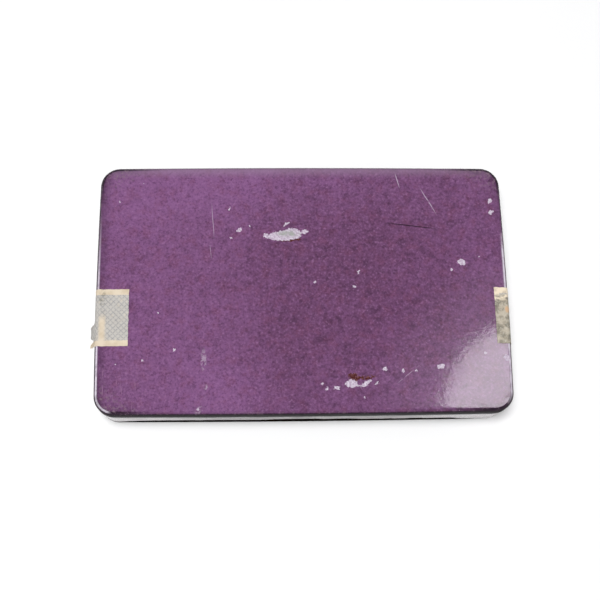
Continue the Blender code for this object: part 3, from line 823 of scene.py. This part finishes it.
def make_paint():
    """Each cake is worn in its own way: a brush has hollowed it, and it creeps up the pan's walls."""
    slots = {m["slot"]: m["base_color"] for m in frame["record"]["materials"]}
    cakes = sorted(node for node in frame["nodes"] if node.startswith("cake_"))
    for number, node in enumerate(cakes):
        random.seed(number)
        paint = node[len("cake_"):]
        low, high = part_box(node)
        half = (high - low) / 2
        centre = (low + high) / 2
        hollow = Vector((random.uniform(-4, 4), random.uniform(-2.5, 2.5), 0)) * MM
        wear = random.uniform(0.8, 3.4) * MM

        def crown(x, y, inset):
            """The height of the worn top, at a distance in from the cake's side."""
            away = Vector(((x - hollow.x) / half.x, (y - hollow.y) / half.y, 0)).length
            creep = 0.7 * MM * math.exp(-inset / 0.5)
            lump = noise.noise(Vector((x, y, number * MM)) / (3.2 * MM)) * 0.28 * MM
            grain = noise.noise(Vector((x, y, number * MM)) / (1.1 * MM)) * 0.10 * MM
            worn = wear * math.exp(-1.6 * away**2) * min(inset / 1.5, 1)
            return high.z - 0.5 * MM + creep + lump + grain - worn

        levels = [(3, low.z), (0.9, low.z), (0.7, low.z + 0.3 * MM), (0.15, high.z - 1 * MM)]
        levels += [(inset, None) for inset in (0.05, 0.25, 0.6, 1.2, 2, 3, 4.2, 5.4, 6.6, 7.6)]
        rings = []
        for inset, z in levels:
            flat = outline(half.x, half.y, 1.3 * MM, 0, inset * MM, corner_steps=5, side_steps=4)
            heights = [crown(x, y, inset) if z is None else z for x, y in flat]
            rings.append([(centre.x + x, centre.y + y, height) for (x, y), height in zip(flat, heights)])
        bm = bmesh.new()
        skin(bm, rings)
        slot_name = f"paint_{paint}"
        cake = new_object(f"dried_{paint}", bm, sharp_angle=60)
        settle(cake, "tray", slot_name, paint_finish(slot_name, slots[slot_name], 3 * number), node)


# ---------- The brush ----------

def turned(name, profile, start, steps=40, ripple=None):
    """A piece turned about a line along +X, from (distance along, radius) pairs. ripple changes a radius."""
    bm = bmesh.new()
    rings = []
    for along, radius in profile:
        ring = []
        for i in range(steps):
            angle = 2 * math.pi * i / steps
            here = radius + (ripple(along, angle) if ripple else 0)
            ring.append((start.x + along, start.y + here * math.cos(angle), start.z + here * math.sin(angle)))
        rings.append(ring)
    skin(bm, rings)
    return new_object(name, bm)


def blended(stops, steps):
    """Smoothly joined (distance, radius) stops, as a list of points."""
    points = []
    for (a, ra), (b, rb) in zip(stops, stops[1:]):
        for i in range(steps):
            t = i / steps
            points.append((a + (b - a) * t, ra + (rb - ra) * t * t * (3 - 2 * t)))
    return points + [stops[-1]]


LACQUER = rgb(128, 30, 24)
LACQUER_DEEP = rgb(92, 18, 16)
BARE_WOOD = rgb(186, 142, 96)
NICKEL = rgb(214, 210, 202)
NICKEL_DULL = rgb(160, 150, 134)
HAIR = rgb(112, 66, 34)
HAIR_DARK = rgb(58, 30, 16)
HAIR_TIP = rgb(30, 16, 10)


def lacquer_finish():
    made = Finish("brush_lacquer_worn")
    grain = made.noise(0.5, 4, 0.6, stretch=(30, 1, 1), seed=5)
    made.color = made.mix(made.ramp(grain, 0.35, 0.7), LACQUER, LACQUER_DEEP)
    bare = made.ramp(made.noise(3, 4, 0.7, seed=15), 0.62, 0.68)
    made.cover(bare, BARE_WOOD)
    roughness = made.ramp(bare, 0, 1, 0.18, 0.6)
    flaked = made.bump(made.minus(1, bare), 0.04)
    return made.done(roughness, made.bump(grain, 0.015, normal=flaked))


def nickel_finish():
    made = Finish("ferrule_nickel_dull")
    tarnish = made.ramp(made.noise(3, 4, 0.6, seed=7), 0.4, 0.7)
    made.color = made.mix(tarnish, NICKEL, NICKEL_DULL)
    roughness = made.ramp(tarnish, 0, 1, 0.16, 0.38)
    rings = made.noise(0.4, 2, stretch=(1, 30, 30), seed=17)
    return made.done(roughness, made.bump(rings, 0.01), Metallic=1)


def hair_finish():
    made = Finish("brush_hair_fine")
    strands = made.noise(0.16, 3, 0.6, stretch=(40, 1, 1), seed=27)
    made.color = made.mix(made.ramp(strands, 0.35, 0.65), HAIR, HAIR_DARK)
    made.cover(made.ramp(made.axis("X"), 66, 75), HAIR_TIP, 0.6)
    return made.done(made.ramp(strands, 0.3, 0.7, 0.4, 0.65), made.bump(strands, 0.08))


def make_brush():
    low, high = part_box("brush_handle")
    start = Vector((low.x, (low.y + high.y) / 2, (low.z + high.z) / 2))
    neck, mouth = [corner.x - low.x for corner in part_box("brush_ferrule")]
    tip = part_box("brush_hair")[1].x - low.x
    widest = (high.z - low.z) / 2
    stops = [(0, 0.2 * MM), (0.5 * MM, 1 * MM), (2 * MM, 1.5 * MM), (40 * MM, 2.1 * MM)]
    stops += [(78 * MM, widest), (96 * MM, 3 * MM), (neck, 2.45 * MM), (neck + 8 * MM, 2.2 * MM)]
    handle = turned("lacquered_handle", blended(stops, 8), start)
    settle(handle, "tray", "brush_lacquer", lacquer_finish(), "brush_handle")

    shape = blended([(neck, 2.5 * MM), (mouth, 2.9 * MM)], 60)
    crimps = [neck + 3 * MM, neck + 5 * MM, mouth - 4 * MM]
    pinched = []
    for along, radius in shape:
        pinch = sum(0.22 * MM * math.exp(-(((along - crimp) / (0.45 * MM)) ** 2)) for crimp in crimps)
        pinched.append((along, radius - pinch))
    inner = [(mouth, 2.5 * MM), (neck + 9 * MM, 2.3 * MM)]
    crimped = turned("crimped_ferrule", pinched + inner, start)
    settle(crimped, "tray", "ferrule_nickel", nickel_finish(), "brush_ferrule")

    root = mouth - 3 * MM
    stops = [(root, 2.2 * MM), (mouth, 2.35 * MM), (mouth + 5 * MM, 2.85 * MM), (mouth + 10 * MM, 2.8 * MM)]
    stops += [(mouth + 17 * MM, 1.6 * MM), (tip - 1.2 * MM, 0.4 * MM), (tip, 0.05 * MM)]

    def ripple(along, angle):
        """Locks of hair: shallow furrows that run to the tip and drift round it a little."""
        fade = min(max((along - mouth) / (6 * MM), 0), 1) * min(max((tip - along) / (5 * MM), 0), 1)
        furrow = math.sin(angle * 11 + along / (7 * MM)) * math.sin(angle * 4 + 1.3)
        return -0.10 * MM * fade * (1 + furrow)

    tuft = turned("hair_tuft", blended(stops, 8), start, steps=72, ripple=ripple)
    settle(tuft, "tray", "brush_hair", hair_finish(), "brush_hair")


# ---------- The paper seals ----------

PAPER = 0.12 * MM
PAPER_LIFT = 0.08 * MM
LATTICE_PITCH = 2.6
FOLD_X = 96.5                  # where the strips bend over the lid's shoulder, in millimetres
RESIN = (99, -12, 3, 4, 0)     # a brown blob on the right-hand strip, as the lid's marks are given

CREAM = rgb(194, 181, 162)
TAN = rgb(177, 162, 140)
PRINT_GREY = rgb(160, 160, 160)
PRINT_LINE = rgb(98, 102, 110)
PAPER_DIRT = rgb(84, 82, 72)
GLUE = rgb(200, 184, 160)
AGED = rgb(164, 155, 140)
AGED_DARK = rgb(106, 101, 90)
AGED_PALE = rgb(178, 173, 162)
LUMP = rgb(206, 192, 170)
RESIN_BROWN = rgb(190, 150, 112)


def lattice(made, across):
    """Two sets of slanted lines that cross, unevenly printed, and run on round the shoulder."""
    along = made.minus(made.absolute(made.axis("X")), made.axis("Z"))
    turn = math.pi / LATTICE_PITCH
    first = made.math("SINE", made.times(made.plus(along, across), turn))
    second = made.math("SINE", made.times(made.minus(along, across), turn))
    lines = made.math("MINIMUM", made.absolute(first), made.absolute(second))
    blot = made.ramp(made.noise(0.8, 3, 0.65, seed=23), 0.32, 0.66, 0.15, 1)
    return made.times(made.ramp(lines, 0.75, 0.05), blot)


def age_paper(made, across, wander):
    """Turns the right strip grey and patchy, with lumps at its back edge, and returns its dirt."""
    aged = made.ramp(made.plus(across, wander), 11.4, 10.2)
    made.cover(aged, AGED)
    patches = made.ramp(made.noise(3.4, 3, 0.6, seed=47), 0.38, 0.66)
    made.cover(made.times(aged, patches), AGED_DARK)
    rough_spots = made.ramp(made.noise(1.2, 3, 0.7, seed=49), 0.48, 0.68, 0, 0.6)
    made.cover(made.times(aged, rough_spots), AGED_PALE)
    lumps = made.ramp(made.noise(2.6, 3, seed=57), 0.42, 0.54)
    made.cover(made.times(made.ramp(across, 6.5, 9), lumps), LUMP)
    resin = made.ramp(made.nearest([RESIN], 0.8, 1), 1.1, 0.5, 0, 0.7)
    on_top = made.ramp(made.axis("Z"), LID_TOP / MM - 3, LID_TOP / MM - 1.5)
    made.cover(made.times(resin, on_top), RESIN_BROWN)
    dirt = made.ramp(made.noise(3, 3, 0.6, seed=53), 0.52, 0.72, 0, 0.7)
    return made.times(aged, dirt)


def paper_finish(side):
    """Cream paper with a grey printed lattice between plain borders. It is rubbed, stained and brittle."""
    made = Finish(f"seal_paper_{side}")
    low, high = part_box(f"seal_{side}_lid")
    middle = (low.y + high.y) / 2 / MM
    half = (high.y - low.y) / 2 / MM
    across = made.minus(made.axis("Y"), middle)
    wander = made.times(made.noise(2.5, 3, 0.6, seed=3), 0.7)
    from_fold = made.absolute(made.minus(made.absolute(made.axis("X")), FOLD_X))
    fold = made.ramp(from_fold, 2.4, 0.6)

    cloud = made.ramp(made.noise(5, 4, 0.6, seed=13), 0.35, 0.7)
    made.color = made.mix(cloud, CREAM, TAN)
    from_edge = made.minus(half, made.absolute(across))
    printed = made.ramp(made.plus(from_edge, wander), 2.9, 3.4)
    rubbed = made.ramp(made.noise(3.2, 4, 0.65, seed=33), 0.58, 0.72, 0, 0.6)
    rubbed = made.most(rubbed, made.times(fold, made.ramp(across, 3, -2), 0.95))
    printed = made.times(printed, made.minus(1, rubbed))
    made.cover(printed, PRINT_GREY, 0.75)
    made.cover(made.times(lattice(made, across), printed), PRINT_LINE, 0.62)
    if side == "right":
        dirt = age_paper(made, across, wander)
    else:
        dirt = made.ramp(made.noise(4, 4, 0.65, seed=43), 0.5, 0.72)
        dirt = made.times(dirt, fold, made.ramp(across, 0, 5))
    made.cover(dirt, PAPER_DIRT, 0.8)
    glue = made.ramp(made.noise(1.6, 3, 0.6, seed=63), 0.63, 0.72)
    made.cover(glue, GLUE, 0.25)
    fibres = made.noise(0.35, 4, 0.7, seed=73)
    creases = made.noise(1.8, 4, 0.6, stretch=(1, 3, 1), seed=83)
    normal = made.bump(fibres, 0.03, normal=made.bump(creases, 0.12))
    return made.done(made.ramp(fibres, 0.3, 0.7, 0.6, 0.85), normal)


def paper_sheet(name, place, along, across, finish, body, node):
    """Paper laid by place(u, v), both 0 to 1, on a grid of along by across patches."""
    bm = bmesh.new()
    rows = [[bm.verts.new(place(i / along, j / across)) for i in range(along + 1)] for j in range(across + 1)]
    for near, far in zip(rows, rows[1:]):
        for i in range(along):
            bm.faces.new((near[i], near[i + 1], far[i + 1], far[i]))
    sheet = new_object(name, bm)
    thicken(sheet, PAPER, even=False)
    settle(sheet, body, "seal_paper", finish, node)


def torn(place, seed, size=0.35 * MM):
    """How far a torn or worn edge of the paper wanders at a place along it."""
    return noise.noise(Vector((place / (2.2 * MM), seed, 0))) * size


def make_lid_seal(side, sign, finish, peel, tear):
    """The strip's upper half: over the lid, round its shoulder and down its side, where peel lifts it off.

    tear says how much of its free end is missing.
    """
    node = f"seal_{side}_lid"
    low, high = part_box(node)
    inner = min(abs(low.x), abs(high.x))
    shoulder_x = LID_X - SHOULDER
    shoulder_z = LID_TOP - SHOULDER
    radius = SHOULDER + PAPER_LIFT + PAPER / 2
    flat = shoulder_x - inner
    bend = radius * math.pi / 2
    drop = shoulder_z - SEAM - 0.15 * MM
    total = flat + bend + drop

    def place(u, v):
        y = low.y + (high.y - low.y) * v
        if v in (0, 1):
            y += torn(u * total, 5 * sign)
        along = u * (total - tear(v))
        if u == 0:
            along += torn(y, 9 * sign, 0.2 * MM)
        if u == 1:
            along += torn(y, 2 * sign, 0.9 * MM) - 0.3 * MM
        bow = BOW * (y / (LID_Y - CORNER)) ** 2
        if along < flat:
            rise = lid_rise(flat - along + SHOULDER)
            return sign * (inner + along), y, LID_TOP + rise + PAPER_LIFT + PAPER / 2
        lift = peel(v)
        angle = min((along - flat) / radius, math.pi / 2 - lift)
        x = shoulder_x - bow + radius * math.sin(angle)
        z = shoulder_z + radius * math.cos(angle)
        rest = along - flat - radius * angle
        if rest > 0:
            ruck = 0.25 * MM * math.sin(rest / (1.1 * MM) + y / (1.7 * MM)) * min(lift * 3, 1)
            x += rest * math.cos(angle) + ruck * math.sin(angle)
            z += -rest * math.sin(angle) + ruck * math.cos(angle)
        return sign * x, y, z

    paper_sheet(f"paper_seal_{side}_over_lid", place, 44, 40, finish, "lid", node)


def make_tray_seal(side, sign, finish):
    """The strip's lower half, glued to the tray's end wall."""
    node = f"seal_{side}_base"
    low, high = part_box(node)

    def place(u, v):
        y = low.y + (high.y - low.y) * v
        z = high.z + (low.z - high.z) * u
        if u in (0, 1):
            z += torn(y, 4 + sign, 0.6 * MM) - 0.2 * MM * (0.5 - u)
        ruck = 0.05 * MM * noise.noise(Vector((y, z, sign * MM)) / (2.5 * MM))
        bow = BOW * (y / (TRAY_Y - CORNER)) ** 2
        return sign * (TRAY_X - bow + PAPER_LIFT + PAPER / 2 + ruck + 0.05 * MM), y, z

    paper_sheet(f"paper_seal_{side}_on_tray", place, 12, 32, finish, "tray", node)


def left_peel(v):
    """The left strip has come unglued at the front: the angle that its free end stands off by."""
    share = min(max((0.50 - v) / 0.16, 0), 1)
    return math.radians(31) * share * share * (3 - 2 * share)


def left_tear(v):
    """The notch torn out of the left strip's free end, close to its front edge."""
    return 3.4 * MM * math.exp(-(((v - 0.11) / 0.045) ** 2))


def right_peel(v):
    return math.radians(4) * max(0, 1 - v / 0.3)


def no_tear(v):
    return 0


# ---------- The studio ----------

def make_camera():
    camera = bpy.data.cameras.new("camera")
    camera.lens = CAMERA_LENS
    camera.sensor_width = CAMERA_SENSOR
    obj = add("camera", camera)
    turn = Matrix.Rotation(CAMERA_ROLL, 4, "Z") @ Matrix.Rotation(CAMERA_YAW, 4, "Y")
    seen = Matrix.Translation(CAMERA_OFFSET) @ turn @ Matrix.Rotation(-CAMERA_TILT, 4, "X")
    obj.matrix_world = Matrix.Translation((0, 0, LID_TOP - SHOULDER)) @ seen.inverted()
    bpy.context.scene.camera = obj


FLOOR_COLOR = (0.71, 0.71, 0.715, 1)
FLOOR_REACH = 3


def make_floor():
    finish = bpy.data.materials.new("pale_floor")
    finish.use_nodes = True
    inputs = finish.node_tree.nodes["Principled BSDF"].inputs
    inputs["Base Color"].default_value = FLOOR_COLOR
    inputs["Roughness"].default_value = 0.9
    inputs["Specular IOR Level"].default_value = 0.1
    bm = bmesh.new()
    corners = ((-1, -1), (1, -1), (1, 1), (-1, 1))
    bm.faces.new([bm.verts.new((x * FLOOR_REACH, y * FLOOR_REACH, 0)) for x, y in corners])
    floor = new_object("floor", bm)
    floor.data.materials.append(finish)


def softbox(name, place, target, size, brightness, shape="RECTANGLE", lights=True, mirrors=True):
    """A flat light of a brightness relative to white, facing its target.

    lights lets it light dull surfaces, and mirrors lets it show in shiny ones.
    """
    light = bpy.data.lights.new(name, "AREA")
    light.shape = shape
    light.size, light.size_y = size
    filled = math.pi / 4 if shape == "DISK" else 1
    light.energy = brightness * math.pi * size[0] * size[1] * filled
    obj = add(name, light)
    place = Vector(place)
    aim = (Vector(target) - place).to_track_quat("-Z", "Y").to_matrix().to_4x4()
    obj.matrix_world = Matrix.Translation(place) @ aim
    obj.visible_diffuse = lights
    obj.visible_glossy = mirrors


# The round lamp's reflection on the lid, the wider and fainter discs of its glow, and its height.
GLOSS_MIDDLE = Vector((116, -68)) * MM
GLOSS_RADIUS = 51 * MM
GLOSS_BRIGHTNESS = 18.5
GLOW_RADII = (64 * MM, 71 * MM, 77 * MM, 84 * MM)
GLOW_BRIGHTNESS = 0.45
GLOW_STEP = 0.01
LAMP_HEIGHT = 1.5


def mirrored(point, height):
    """Where the camera sees past a point of the lid, as in a mirror, and how much larger things are there."""
    camera = bpy.context.scene.camera.matrix_world.translation
    share = height / (camera.z - LID_TOP)
    return point + (point - camera.xy) * share, 1 + share


def round_lamp(name, radius, height, brightness):
    """A light that only shows in shiny surfaces: the lid mirrors it as a disc about GLOSS_MIDDLE."""
    spot, larger = mirrored(GLOSS_MIDDLE, height)
    size = (2 * radius * larger, 2 * radius * larger)
    softbox(name, (*spot, height + LID_TOP), (*spot, 0), size, brightness, shape="DISK", lights=False)


WORLD_BRIGHTNESS = 0.34


def make_lights():
    world = bpy.data.worlds.new("world")
    world.use_nodes = True
    background = world.node_tree.nodes["Background"].inputs
    background["Color"].default_value = (1, 1, 1, 1)
    background["Strength"].default_value = WORLD_BRIGHTNESS
    bpy.context.scene.world = world
    bpy.context.scene.view_settings.view_transform = "Standard"

    round_lamp("round_lamp", GLOSS_RADIUS, LAMP_HEIGHT, GLOSS_BRIGHTNESS)
    for number, radius in enumerate(GLOW_RADII, start=1):
        round_lamp(f"glow_{number}", radius, LAMP_HEIGHT + number * GLOW_STEP, GLOW_BRIGHTNESS)
    softbox("overhead", (-0.2, -0.13, 1.6), (0, 0, 0), (0.5, 0.5), 40, mirrors=False)
    softbox("left_side", (-1.5, 0, 0.6), (0, 0, 0.1), (0.9, 0.5), 3, lights=False)
    softbox("right_side", (1.6, 0.1, 0.6), (0, 0, 0.1), (0.9, 0.5), 3, lights=False)


def main():
    make_camera()
    make_floor()
    make_lights()
    enamel = enamel_finish()
    tinplate = tinplate_finish()
    make_lid(enamel, tinplate)
    make_tray(tinplate, wire_finish())
    make_palette(white_enamel_finish("palette_enamel_stained", stains=True))
    make_carrier(white_enamel_finish("carrier_enamel_used", stains=False))
    make_pans(pan_finish())
    make_paint()
    make_brush()
    for side, sign, peel, tear in (("left", -1, left_peel, left_tear), ("right", 1, right_peel, no_tear)):
        paper = paper_finish(side)
        make_lid_seal(side, sign, paper, peel, tear)
        make_tray_seal(side, sign, paper)


main()
